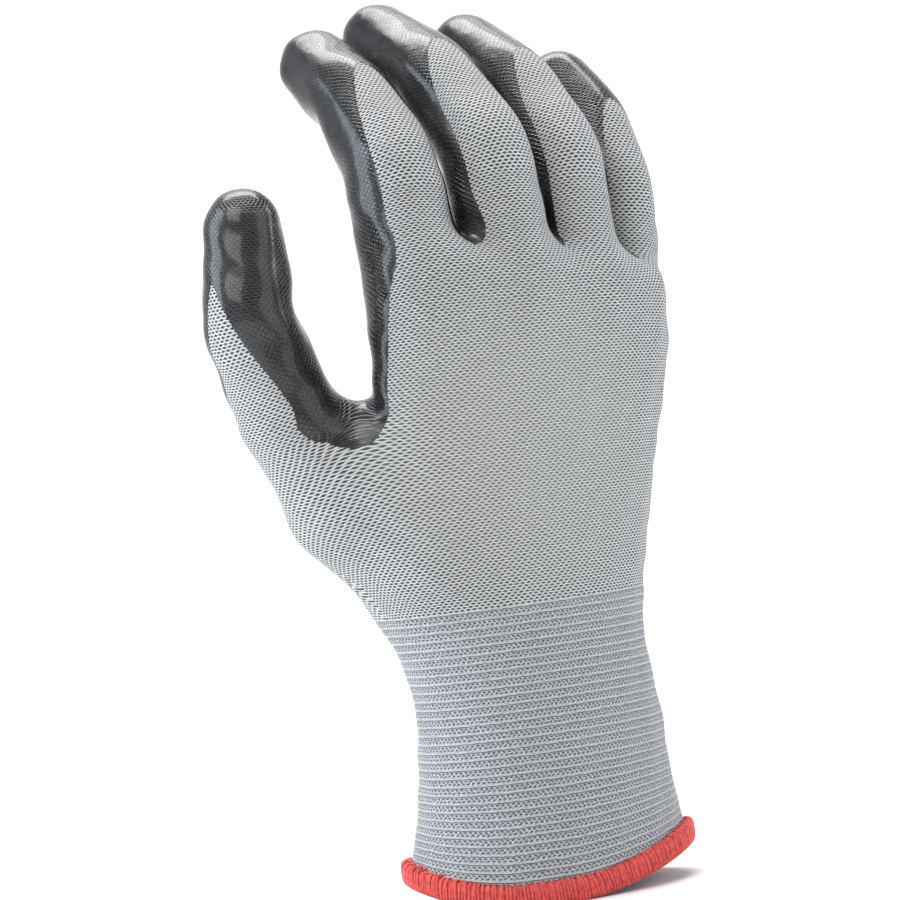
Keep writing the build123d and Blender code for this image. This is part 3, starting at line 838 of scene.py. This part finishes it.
def finish_knit():
    material, w, shader = new_finish("nylon_knit", Roughness=0.62, Specular_IOR_Level=0.35,
                                     Sheen_Weight=0.12, Sheen_Roughness=0.4)
    stitch, place, dip = stitch_inputs(w)
    knit = w.node("ShaderNodeGroup", {"node_tree": courses_group}, Stitch=stitch)
    yarn, opening = knit.outputs["Yarn"], knit.outputs["Opening"]
    middle = w.node("ShaderNodeVectorMath", {"operation": "DISTANCE"}, _0=place, _1=(-0.006, -0.028, 0.112))
    middle = w.ramp(middle.outputs["Value"], 0.012, 0.052, 1.0, 0.0)
    patchy = w.ramp(w.noise(place, 60.0, 3.0), 0.35, 0.65)
    closed = w.math("MULTIPLY", middle, w.math("ADD", 0.55, w.math("MULTIPLY", patchy, 0.45)))
    # Openings: painted shade seen through the knit, lighter where the knit is closed up in the middle of the
    # back.
    hole = w.mix(closed, OPENING_SHADE, CLOSED_OPENING_SHADE)
    # Yarn crests: the yarn's own grey with a painted highlight, varying at random. The valleys between
    # courses get painted shade.
    bright = w.mix(w.noise(stitch, 0.9), (0.55, 0.557, 0.562, 1), YARN_CREST_HIGHLIGHT)
    colour = w.mix(yarn, YARN_SHADE, bright)
    colour = w.mix(opening, colour, hole)
    # Fine bright specks on the yarn: painted glints on its fibres. The same noise adds fibre bumps.
    fibre_glint = w.noise(stitch, 7.0)
    colour = w.mix(w.math("MULTIPLY", w.ramp(fibre_glint, 0.5, 0.8), 0.35), colour, (0.80, 0.81, 0.82, 1))
    # A darker greenish tint over the middle of the back: painted light, not a colour of the yarn.
    tint = w.math("MULTIPLY", middle, 0.22)
    colour = w.mix(tint, colour, (0.385, 0.405, 0.365, 1))
    soak = w.math("ADD", dip, w.math("ADD", w.math("MULTIPLY", opening, 0.5),
                                     w.math("MULTIPLY", w.math("SUBTRACT", w.noise(stitch, 0.8), 0.5), 0.9)))
    colour = w.mix(w.ramp(soak, -0.25, 0.15), colour, DIP_SOAKED)
    w.feed(shader["Base Color"], colour)
    height = w.math("ADD", yarn, w.math("MULTIPLY", fibre_glint, 0.15))
    w.bump(shader["Normal"], 0.8, 0.00045, height)
    return material


knit_material = finish_knit()

# ---- Rib finish ----
# The cuff is knitted with an elastic yarn laid straight in every few courses: a bright raised
# line, a dark line of painted shade in the groove under it, then small leaning stitches with dark
# dots of painted shade in the gaps between them.
RIB_PITCH = 2.1
LAID_AT = 0.15            # place of the laid yarn in each pitch


def rib_lines():
    w, given, out = new_group("rib_lines", [("Stitch", "Vector", None), ("Pitch", "Float", RIB_PITCH),
                                            ("Wale", "Float", 1.25)],
                              [("Yarn", "Float"), ("Line", "Float"), ("ShadedDots", "Float")])
    parts = w.node("ShaderNodeSeparateXYZ", Vector=given["Stitch"]).outputs
    wander = w.math("MULTIPLY", w.math("SUBTRACT", w.noise(given["Stitch"], 0.6), 0.5), 0.55)
    v = w.math("DIVIDE", w.math("ADD", parts[1], wander), given["Pitch"])
    part = w.math("FRACT", v)
    laid = w.math("ABSOLUTE", w.math("SUBTRACT", part, LAID_AT))
    worn = w.ramp(w.noise(given["Stitch"], 1.3), 0.3, 0.6, 0.45, 1.0)
    w.feed(out["Yarn"], w.math("MULTIPLY", w.ramp(laid, 0.05, 0.13, 1.0, 0.0), worn))
    dark = w.math("MINIMUM", part, w.math("SUBTRACT", 1.0, part))
    w.feed(out["Line"], w.ramp(dark, 0.03, 0.085, 1.0, 0.0))
    rows = w.math("DIVIDE", w.math("SUBTRACT", part, 0.30), 0.325)
    inside = w.math("FRACT", rows)
    odd = w.math("MODULO", w.math("FLOOR", rows), 2.0)
    lean = w.math("MULTIPLY", w.math("SUBTRACT", w.math("MULTIPLY", odd, 2.0), 1.0), 0.55)
    u = w.math("DIVIDE", w.math("ADD", parts[0], w.math("MULTIPLY", inside, lean)), given["Wale"])
    across = w.math("ABSOLUTE", w.math("SUBTRACT", w.math("FRACT", u), 0.5))
    gap = w.math("ABSOLUTE", w.math("SUBTRACT", inside, 0.5))
    dots = w.math("MULTIPLY", w.ramp(across, 0.16, 0.30), w.ramp(gap, 0.12, 0.34, 1.0, 0.25))
    dots = w.math("MULTIPLY", dots, w.ramp(part, 0.24, 0.31))
    w.feed(out["ShadedDots"], dots)
    return w.tree


rib_group = rib_lines()


def finish_rib():
    material, w, shader = new_finish("rib_knit", Roughness=0.66, Specular_IOR_Level=0.3, Sheen_Weight=0.1)
    stitch = stitch_inputs(w)[0]
    rib = w.node("ShaderNodeGroup", {"node_tree": rib_group}, Stitch=stitch).outputs
    plain = w.mix(w.ramp(w.noise(stitch, 1.9), 0.3, 0.7), (0.23, 0.238, 0.249, 1), (0.54, 0.552, 0.570, 1))
    colour = w.mix(w.math("MULTIPLY", rib["Yarn"], 0.7), plain, (0.50, 0.513, 0.530, 1))
    # Dark dots: painted shade in the gaps between the small stitches.
    colour = w.mix(w.math("MULTIPLY", rib["ShadedDots"], 0.95), colour, (0.035, 0.037, 0.043, 1))
    # Dark line: painted shade in the groove under the laid yarn.
    colour = w.mix(w.math("MULTIPLY", rib["Line"], 0.85), colour, (0.07, 0.073, 0.082, 1))
    w.feed(shader["Base Color"], colour)
    height = w.math("SUBTRACT", w.math("MULTIPLY", rib["Yarn"], 0.7), w.math("MULTIPLY", rib["ShadedDots"], 0.7))
    height = w.math("ADD", height, w.math("MULTIPLY", w.noise(stitch, 5.0), 0.25))
    w.bump(shader["Normal"], 0.5, 0.0003, height)
    return material


rib_material = finish_rib()

# ---- Dip finish ----
# Black nitrile, dipped over the palm, the fingertips and down between the stalls. It is glossy,
# shows the knit under it faintly, and is finely wrinkled.
def finish_dip():
    material, w, shader = new_finish("nitrile_coating", Specular_IOR_Level=0.55, Coat_Weight=0.4,
                                     Coat_Roughness=0.12)
    stitch, place = stitch_inputs(w)[:2]
    knit = w.node("ShaderNodeGroup", {"node_tree": courses_group}, Stitch=stitch).outputs
    cloudy = w.noise(place, 90.0, 4.0)
    colour = w.mix(cloudy, (0.006, 0.0065, 0.008, 1), (0.018, 0.019, 0.022, 1))
    colour = w.mix(w.math("MULTIPLY", knit["Opening"], 0.5), colour, (0.006, 0.006, 0.007, 1))
    w.feed(shader["Base Color"], colour)
    rough = w.ramp(w.noise(place, 220.0, 3.0), 0.3, 0.7, 0.17, 0.36)
    w.feed(shader["Roughness"], rough)
    wrinkle = w.math("MULTIPLY", w.noise(place, 130.0, 3.0), 2.2)
    height = w.math("ADD", w.math("MULTIPLY", knit["Yarn"], 0.8), wrinkle)
    w.bump(shader["Normal"], 0.7, 0.0004, height)
    return material


dip_material = finish_dip()


def coat_over(name, rows, tris):
    """The coating on a knitted part: it thickens from its edge inwards."""
    rows, tris = trim(rows, tris, rows[:, DIP])
    depth = 0.05 + 0.42 * eased(rows[:, DIP], 0.0, 1.5)
    rows = rows.copy()
    rows[:, PLACE] += rows[:, OUT] * depth[:, None]
    coat = shell_mesh(name, rows, tris, depth + 0.3, dip_material)
    return coat


def knit_part(name, rows, tris):
    knit = shell_mesh(name, rows, tris, KNIT_WALL, knit_material)
    return knit


hand = hand_rows()
for kind, make in (("knit", knit_part), ("coating", coat_over)):
    piece = make("hand_" + kind, *hand)
    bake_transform(piece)
    part = "liner" if kind == "knit" else "coating"
    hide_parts("palm_" + part, "knuckle_" + part)

for name in list(FINGERS) + ["thumb"]:
    stall = stalls[name]
    names = ["base", "tip"] if name == "thumb" else ["base", "mid", "tip"]
    bodies = ["palm" if name == "thumb" else "knuckles"] + [name + "_" + part for part in names]
    if name == "thumb":
        spans = [(-1.0, 13.0), (stall.stops[1] - 8, stall.stops[1] + 8)]
    else:
        spans = [(STALL_START[name], FINGER_CUT), (stall.stops[1] - 6.5, stall.stops[1] + 6.5),
                 (stall.stops[2] - 5.5, stall.stops[2] + 5.5)]
    for part, span, low, high, shape in zip(names, spans, bodies, bodies[1:], stall_parts(name)):
        ends = stall.centre(np.array(span))[0]
        for kind, make in (("knit", knit_part), ("coating", coat_over)):
            piece = make("_".join((name, part, kind)), *shape)
            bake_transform(piece)
            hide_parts(high + ("_liner" if kind == "knit" else "_coating"))

# ---- Ribbed cuff ----
# A knitted tube that grips the wrist. Every laid-in yarn stands up as a rib, and the
# tube's lower end follows the saddle that the stretched hem takes.
RIB_WALL = 1.3
CUFF_AROUND = 176
CUFF_STEP = 0.35
SADDLE_RADIUS = 85.0
SADDLE_TURN = math.radians(-36)
HEM_FLAT = 0.4


def saddle_height(x, y, inset=0.0):
    """Height of the hem's saddle curve over the plane it stands on."""
    across = x * math.cos(SADDLE_TURN) + y * math.sin(SADDLE_TURN)
    return SADDLE_RADIUS - HEM_FLAT - np.sqrt((SADDLE_RADIUS - inset) ** 2 - across ** 2)


def cuff_ring(height, turn):
    """Points of the cuff's plain surface at knitted heights and turns from the back."""
    x, y, width, depth = section(height)
    px, py = x + width * np.sin(turn), y - depth * np.cos(turn)
    fade = np.clip(1 - height / 40.0, 0, 1) ** 1.6
    lift = np.maximum(saddle_height(px, py), 0) * fade
    return np.stack([px, py, height + lift], -1)


def cuff_rows():
    heights = np.concatenate([[1.6, 1.7], np.arange(2.0, WRIST_TOP, CUFF_STEP), [WRIST_TOP]])
    turns = 2 * math.pi * np.arange(CUFF_AROUND) / CUFF_AROUND
    turns = (turns + math.pi) % (2 * math.pi) - math.pi
    height, turn = np.meshgrid(heights, turns, indexing="ij")
    flat = cuff_ring(height.ravel(), turn.ravel())
    width, depth = section(flat[:, 2])[2:]
    ray = unit(np.stack([np.sin(turn.ravel()) * width, -np.cos(turn.ravel()) * depth, 0 * width], 1))
    for _ in range(8):
        flat = flat - 0.9 * ray * hand_field(flat)[:, None]
    out = unit(hand_slope(flat))
    part = height.ravel() / RIB_PITCH % 1.0
    rise = (0.22 * np.exp(-((part - LAID_AT) / 0.085) ** 2)
            + 0.10 * eased(part, 0.3, 0.5) * (1 - eased(part, 0.8, 0.95))
            - 0.14 * np.exp(-(np.minimum(part, 1 - part) / 0.07) ** 2))
    rise *= eased(WRIST_TOP - height.ravel(), 0.0, 2.0)
    rows = np.zeros((len(flat), 9))
    rows[:, PLACE], rows[:, OUT] = flat + out * rise[:, None], out
    rows[:, 6] = cuff_stitches(flat)[:, 0]
    rows[:, 7] = height.ravel()
    rows[:, DIP] = -50
    grid = rows[:, PLACE].reshape(height.shape + (3,))
    around = np.roll(grid, -1, 1) - np.roll(grid, 1, 1)
    ribbed = unit(np.cross(around, np.gradient(grid, axis=0))).reshape(-1, 3)
    share = eased(WRIST_TOP - height.ravel(), 0.4, 2.0)[:, None]
    rows[:, OUT] = unit(ribbed * share + out * (1 - share))
    return rows, grid_tris(len(heights), CUFF_AROUND)


cuff = shell_mesh("ribbed_cuff", *cuff_rows(), RIB_WALL - 0.1, rib_material)
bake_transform(cuff)
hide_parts("cuff_rib_knit")


# ---- Overlocked hem ----
# The cut end of the cuff is bound with red overlock thread: slanting loops of thread packed side
# by side, wrapped from the outside under the edge to the inside, over a band of the same thread.
HEM_HEIGHT = 5.0
LOOP_PITCH = 0.86
LOOP_LEAN = 0.5
BAND_OUT, BAND_IN = 0.95, 2.0
BAND_AROUND, BAND_SIDES = 300, 22
HEM_LIFT = 0.35            # leaves room for the thread that passes under the edge


def finish_thread(name, light, dark):
    """Twisted thread: darker patches from noise are painted shade for the gaps between its turns, and fine
    bright specks are painted glints on its fibres.
    """
    material, w, shader = new_finish(name, Roughness=0.6, Sheen_Weight=0.15)
    place = w.node("ShaderNodeTexCoord").outputs["Object"]
    # Patches of painted shade over the thread's own red.
    colour = w.mix(w.ramp(w.noise(place, 900.0, 3.0), 0.3, 0.7), dark, light)
    # Fine bright specks: painted glints on the thread's fibres.
    fibre_glint = w.math("MULTIPLY", w.ramp(w.noise(place, 4200.0, 2.0), 0.55, 0.75), 0.35)
    colour = w.mix(fibre_glint, colour, (0.95, 0.36, 0.30, 1))
    w.feed(shader["Base Color"], colour)
    w.bump(shader["Normal"], 0.5, 0.0002, w.noise(place, 3500.0, 2.0))
    return material


# Each thread's first colour is its own red, the second its painted shade.
overlock_material = finish_thread("overlock_thread", (0.74, 0.085, 0.07, 1), (0.50, 0.030, 0.028, 1))
needle_material = finish_thread("needle_thread", (0.76, 0.12, 0.10, 1), (0.55, 0.045, 0.04, 1))


def hem_line(count, height):
    """Evenly spaced points round the cuff at a height over the saddle, and the way out at each."""
    turns = np.linspace(0, 2 * math.pi, 1441)
    ring = cuff_ring(np.full_like(turns, max(height, 0.3)), turns)
    ring[:, 2] = np.maximum(saddle_height(ring[:, 0], ring[:, 1]), 0) + height
    far = np.concatenate([[0], np.cumsum(np.linalg.norm(np.diff(ring, axis=0), axis=1))])
    want = far[-1] * np.arange(count) / count
    ring = np.stack([np.interp(want, far, ring[:, k]) for k in range(3)], 1)
    forward = unit(np.roll(ring, -1, 0) - np.roll(ring, 1, 0))
    out = unit(np.cross(forward, (0.0, 0.0, 1.0)))
    return ring, out, unit(np.cross(out, forward)), far[-1]


def band_outline(count, grow=0.0):
    """Cross-section of the bound edge, as pairs of outwards and upwards, from the inside top round."""
    t = np.linspace(math.pi * 0.5, -math.pi * 1.5, count, endpoint=False)
    wide, high = (BAND_OUT + BAND_IN) / 2 + grow, HEM_HEIGHT / 2 + grow
    x = np.sign(np.cos(t)) * np.abs(np.cos(t)) ** 0.62 * wide + (BAND_OUT - BAND_IN) / 2
    z = np.sign(np.sin(t)) * np.abs(np.sin(t)) ** 0.62 * high + HEM_HEIGHT / 2
    return np.stack([x, z], 1)


def bound_edge():
    """The band of thread that the loops lie on; returns its length round the cuff."""
    ring, out, up, length = hem_line(BAND_AROUND, 0.0)
    outline = band_outline(BAND_SIDES)[:, :, None, None]
    grid = ring[None] + outline[:, 0] * out[None] + (outline[:, 1] + HEM_LIFT) * up[None]
    grid[..., 2] = np.maximum(grid[..., 2], 0.25)
    faces = []
    for i in range(BAND_SIDES):
        low, high = i * BAND_AROUND, (i + 1) % BAND_SIDES * BAND_AROUND
        for j in range(BAND_AROUND):
            after = (j + 1) % BAND_AROUND
            faces.append((high + j, high + after, low + after, low + j))
    mesh = bpy.data.meshes.new("hem_band")
    mesh.from_pydata((grid.reshape(-1, 3) / 1000).tolist(), [], faces)
    mesh.shade_smooth()
    mesh.materials.append(overlock_material)
    band = bpy.data.objects.new("hem_band", mesh)
    bpy.context.scene.collection.objects.link(band)
    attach(band, "cuff")
    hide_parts("hem_overlock_wrap")
    return length


def thread_mesh(name, path, radius, sides=6):
    """A length of thread along a path, closed at both ends, as a mesh to be repeated."""
    path = np.array(path, float)
    along = unit(np.gradient(path, axis=0))
    first = unit(np.cross(along, (1.0, 0.0, 0.0)))
    second = np.cross(along, first)
    t = 2 * math.pi * np.arange(sides) / sides
    ring = first[:, None] * np.cos(t)[None, :, None] + second[:, None] * np.sin(t)[None, :, None]
    taper = np.ones(len(path))
    taper[[0, -1]] = 0.55
    grid = path[:, None] + ring * (radius * taper)[:, None, None]
    faces = [tuple(f) for f in grid_tris(len(path), sides)]
    faces += [tuple(range(sides))[::-1], tuple((len(path) - 1) * sides + k for k in range(sides))]
    mesh = bpy.data.meshes.new(name)
    mesh.from_pydata((grid.reshape(-1, 3) / 1000).tolist(), [], faces)
    mesh.shade_smooth()
    return mesh


def repeat_tree(name):
    """Geometry Nodes: one stitch at every point, turned to the cuff, with small chance tilts."""
    tree = bpy.data.node_groups.new(name, "GeometryNodeTree")
    for key, kind in (("Points", "Geometry"), ("Stitch", "Object"), ("Tilt", "Float"), ("Uneven", "Float"),
                      ("Seed", "Int"), ("Finish", "Material")):
        tree.interface.new_socket(key, in_out="INPUT", socket_type="NodeSocket" + kind)
    tree.interface.new_socket("Points", in_out="OUTPUT", socket_type="NodeSocketGeometry")
    w = Wiring(tree)
    given = tree.nodes.new("NodeGroupInput").outputs
    result = tree.nodes.new("NodeGroupOutput").inputs
    ways = [w.node("GeometryNodeInputNamedAttribute", {"data_type": "FLOAT_VECTOR"}, Name=key).outputs[0]
            for key in ("out", "up")]
    turned = w.node("FunctionNodeAlignRotationToVector", {"axis": "Z", "pivot_axis": "AUTO"}, Vector=ways[1])
    turned = w.node("FunctionNodeAlignRotationToVector", {"axis": "Y", "pivot_axis": "Z"},
                    Rotation=turned.outputs[0], Vector=ways[0])
    low = w.math("MULTIPLY", given["Tilt"], -1.0)
    chance = w.node("FunctionNodeRandomValue", {"data_type": "FLOAT"}, Seed=given["Seed"])
    w.feed(chance.inputs[2], low)
    w.feed(chance.inputs[3], given["Tilt"])
    lean = w.node("ShaderNodeCombineXYZ", Y=chance.outputs[1]).outputs[0]
    euler = w.node("FunctionNodeEulerToRotation", Euler=lean).outputs[0]
    spun = w.node("FunctionNodeRotateRotation", {"rotation_space": "LOCAL"},
                  Rotation=turned.outputs[0], Rotate_By=euler)
    short, tall = (w.math(operation, 1.0, given["Uneven"]) for operation in ("SUBTRACT", "ADD"))
    size = w.node("FunctionNodeRandomValue", {"data_type": "FLOAT"}, Seed=given["Seed"])
    w.feed(size.inputs[2], short)
    w.feed(size.inputs[3], tall)
    scale = w.node("ShaderNodeCombineXYZ", X=1.0, Y=1.0, Z=size.outputs[1]).outputs[0]
    shape = w.node("GeometryNodeObjectInfo", Object=given["Stitch"]).outputs["Geometry"]
    placed = w.node("GeometryNodeInstanceOnPoints", Points=given["Points"], Instance=shape,
                    Rotation=spun.outputs[0], Scale=scale)
    real = w.node("GeometryNodeRealizeInstances", Geometry=placed.outputs[0])
    dressed = w.node("GeometryNodeSetMaterial", Geometry=real.outputs[0], Material=given["Finish"])
    w.feed(result["Points"], dressed.outputs[0])
    return tree


repeat_stitches = repeat_tree("repeat_stitches")


def sew_round(name, stitch_mesh, count, height, tilt, uneven, seed, material):
    """Repeats a stitch round the hem and returns the result as a plain mesh object."""
    ring, out, up = hem_line(count, height)[:3]
    mesh = bpy.data.meshes.new(name)
    mesh.from_pydata((ring / 1000).tolist(), [], [])
    for key, values in (("out", out), ("up", up)):
        mesh.attributes.new(key, "FLOAT_VECTOR", "POINT").data.foreach_set("vector", values.ravel())
    base = bpy.data.objects.new(name + "_points", mesh)
    stitch = bpy.data.objects.new(name + "_stitch", stitch_mesh)
    for thing in (base, stitch):
        bpy.context.scene.collection.objects.link(thing)
    modifier = base.modifiers.new("stitches", "NODES")
    modifier.node_group = repeat_stitches
    settings = {"Stitch": stitch, "Tilt": tilt, "Uneven": uneven, "Seed": seed, "Finish": material}
    for item in repeat_stitches.interface.items_tree:
        if item.in_out == "INPUT" and item.name in settings:
            modifier[item.identifier] = settings[item.name]
    bpy.context.view_layer.update()
    made = bpy.data.meshes.new_from_object(base.evaluated_get(bpy.context.evaluated_depsgraph_get()))
    made.name = name
    made.shade_smooth()
    for thing in (base, stitch):
        bpy.data.objects.remove(thing)
    sewn = bpy.data.objects.new(name, made)
    bpy.context.scene.collection.objects.link(sewn)
    return sewn


hem_length = bound_edge()
outline = band_outline(26, 0.12)
way = np.where(np.arange(26) < 12, LOOP_LEAN, -LOOP_LEAN)
loop_path = [(lean * (z / HEM_HEIGHT - 0.5), x, z + HEM_LIFT) for lean, (x, z) in zip(way, outline)]
loops = sew_round("hem_overlock_loops", thread_mesh("loop", loop_path + loop_path[:1], 0.38),
                  int(hem_length / LOOP_PITCH), 0.0, 0.10, 0.06, 7, overlock_material)
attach(loops, "cuff")
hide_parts("hem_overlock_wrap")

# ---- Needle thread ----
# The overlock's own needle line: short red stitches that lie on the ribs just over the bound edge.
dash = [(x, 0.25 - 0.10 * x * x, 0.10 * x) for x in np.linspace(-0.85, 0.85, 7)]
needle = sew_round("hem_needle_stitches", thread_mesh("dash", dash, 0.17),
                   int(hem_length / 2.3), HEM_HEIGHT + 0.75, 0.20, 0.2, 11, needle_material)
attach(needle, "cuff")
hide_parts("hem_needle_thread")

# ---- Elastic yarns ----
# Covered elastic laid in behind the ribs: the frame's own rings, seen only inside the cuff.
def finish_elastic():
    material, w, shader = new_finish("elastic_yarn", Roughness=0.7)
    place = w.node("ShaderNodeTexCoord").outputs["Object"]
    wrap = w.node("ShaderNodeTexWave", {"bands_direction": "DIAGONAL"}, Vector=place, Scale=700.0,
                  Distortion=1.5)
    colour = w.mix(wrap.outputs["Fac"], (0.40, 0.41, 0.42, 1), (0.66, 0.67, 0.68, 1))
    w.feed(shader["Base Color"], colour)
    w.bump(shader["Normal"], 0.5, 0.0002, wrap.outputs["Fac"])
    return material


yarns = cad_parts["cuff_elastic_yarns"]
yarns.data.materials.clear()
yarns.data.materials.append(finish_elastic())
